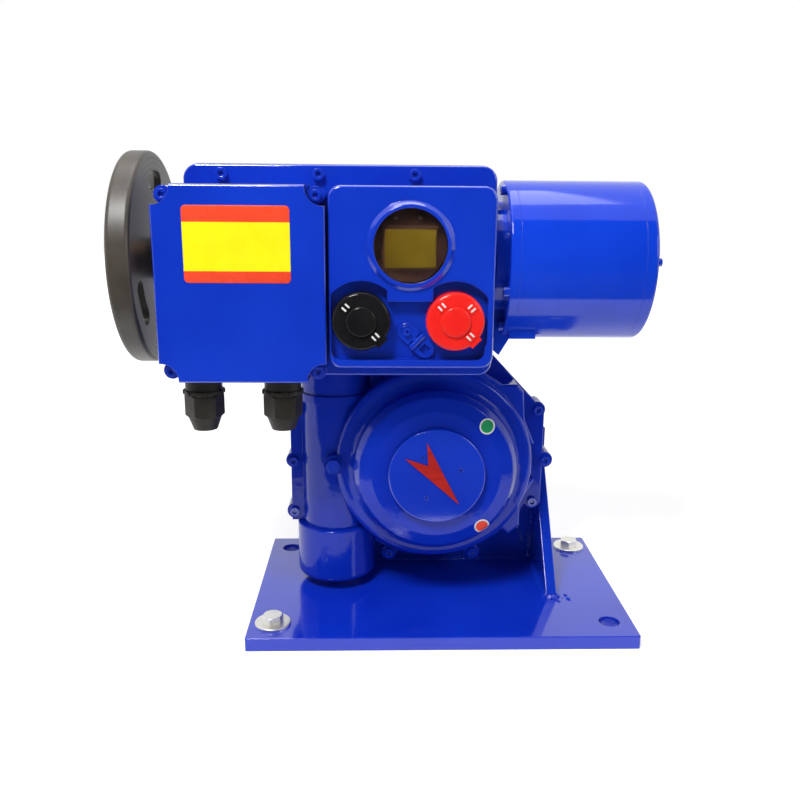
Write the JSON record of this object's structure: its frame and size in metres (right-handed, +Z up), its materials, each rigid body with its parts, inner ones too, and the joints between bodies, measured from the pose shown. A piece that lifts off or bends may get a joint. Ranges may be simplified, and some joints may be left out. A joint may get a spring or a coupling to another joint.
{
  "type": "electric damper actuator",
  "caption": "Foot-mounted quarter-turn electric actuator with worm gearbox, motor, handwheel, control head, position indicator and a crank arm at the rear.",
  "frame": {"origin": "centre of the base plate's underside", "axes": "+X to the right seen from the front, +Y to the back where the crank arm is, +Z up; the indicator faces -Y"},
  "size_m": [0.509, 0.2545, 0.4855],
  "materials": {
    "blue_paint": "gloss paint",
    "red_paint": "brushed paint",
    "black_paint": "semi-gloss paint",
    "zinc_steel": "zinc plated",
    "dark_steel": "black oxide",
    "machined_steel": "ground",
    "bearing_steel": "polished",
    "bronze": "machined bronze",
    "cast_lever": "as cast, oiled",
    "core_iron": "varnished laminations",
    "black_plastic": "polished",
    "red_plastic": "polished",
    "window_glass": "clear",
    "display": "matte",
    "terminal_plastic": "matte",
    "circuit_board": "solder mask",
    "gland_plastic": "moulded nylon",
    "gland_rubber": "moulded"
  },
  "bodies": {
    "frame": {"base_plate": "blue_paint", "bracket_bolts": "dark_steel", "bracket_plate": "blue_paint", "case_bolts": "blue_paint", "control_cover": "blue_paint", "display_board": "display", "flange_screws": "blue_paint", "foundation_bolts": "zinc_steel", "foundation_washers": "zinc_steel", "front_plate": "blue_paint", "gear_case": "blue_paint", "gear_rear_cover": "blue_paint", "gland_bodies": "gland_plastic", "gland_nuts": "gland_plastic", "gland_seals": "gland_rubber", "hasp_leaf": "blue_paint", "hasp_pin": "blue_paint", "hasp_screw": "blue_paint", "hex_plug": "blue_paint", "input_shaft_bearings": "bearing_steel", "lid_screws": "dark_steel", "main_housing": "blue_paint", "motor_cover": "blue_paint", "motor_end_cap": "blue_paint", "motor_flange": "blue_paint", "motor_screws": "blue_paint", "motor_stator": "core_iron", "output_front_bearing": "bearing_steel", "output_rear_bearing": "bearing_steel", "output_seal": "gland_rubber", "plate_screws": "blue_paint", "power_board": "circuit_board", "rear_lid": "blue_paint", "side_gusset": "blue_paint", "terminal_block": "terminal_plastic", "terminal_box": "blue_paint", "terminal_lid": "blue_paint", "terminal_screws": "dark_steel", "window_glass": "window_glass", "worm_cap": "blue_paint", "worm_shaft_bearings": "bearing_steel"},
    "output": {"worm_wheel": "bronze", "output_shaft": "machined_steel", "shaft_keys": "machined_steel", "indicator_disc": "blue_paint", "indicator_arrow": "red_paint", "disc_screws": "dark_steel", "crank_arm": "cast_lever"},
    "upright_shaft": {"worm_shaft": "machined_steel", "upper_worm_wheel": "bronze"},
    "input": {"input_shaft": "machined_steel", "motor_rotor": "core_iron"},
    "sleeve": {"handwheel_sleeve": "bronze"},
    "hand_drive": {"handwheel": "black_paint", "handwheel_shaft": "machined_steel"},
    "selector_black": {"black_knob": "black_plastic"},
    "selector_red": {"red_knob": "red_plastic"},
    "hasp": {"hasp_flap": "blue_paint"}
  },
  "joints": [
    {"name": "input_spin", "type": "hinge", "parent": "frame", "child": "input", "pos_m": [-0.114, -0.026, 0.382], "axis": [-1, 0, 0], "range_deg": [0, 121500]},
    {"name": "worm_shaft_spin", "type": "hinge", "parent": "frame", "child": "upright_shaft", "pos_m": [-0.114, 0.018, 0.164], "axis": [0, 0, 1], "range_deg": [0, 4050]},
    {"name": "output_turn", "type": "hinge", "parent": "frame", "child": "output", "pos_m": [-0.006, 0.018, 0.164], "axis": [0, -1, 0], "range_deg": [0, 90]},
    {"name": "handwheel_push", "type": "slide", "parent": "frame", "child": "sleeve", "axis": [1, 0, 0], "range_m": [0, 0.006], "stiffness_N_per_m": 1500, "springref_m": -0.004},
    {"name": "handwheel_spin", "type": "hinge", "parent": "sleeve", "child": "hand_drive", "pos_m": [-0.25, -0.026, 0.382], "axis": [-1, 0, 0], "continuous": true},
    {"name": "black_knob_turn", "type": "hinge", "parent": "frame", "child": "selector_black", "pos_m": [-0.0824, -0.119, 0.3326], "axis": [0, -1, 0], "range_deg": [-45, 45], "stiffness_Nm_per_rad": 0.08},
    {"name": "red_knob_turn", "type": "hinge", "parent": "frame", "child": "selector_red", "pos_m": [0.004, -0.119, 0.3326], "axis": [0, -1, 0], "range_deg": [-90, 90]},
    {"name": "hasp_flap_lift", "type": "hinge", "parent": "frame", "child": "hasp", "pos_m": [-0.03059, -0.1122, 0.31242], "axis": [-0.6947, 0, -0.7193], "range_deg": [0, 80]}
  ],
  "couplings": [
    {"joint": "worm_shaft_spin", "follows": "input_spin", "ratio": 0.033333},
    {"joint": "output_turn", "follows": "input_spin", "ratio": 0.00074074}
  ]
}
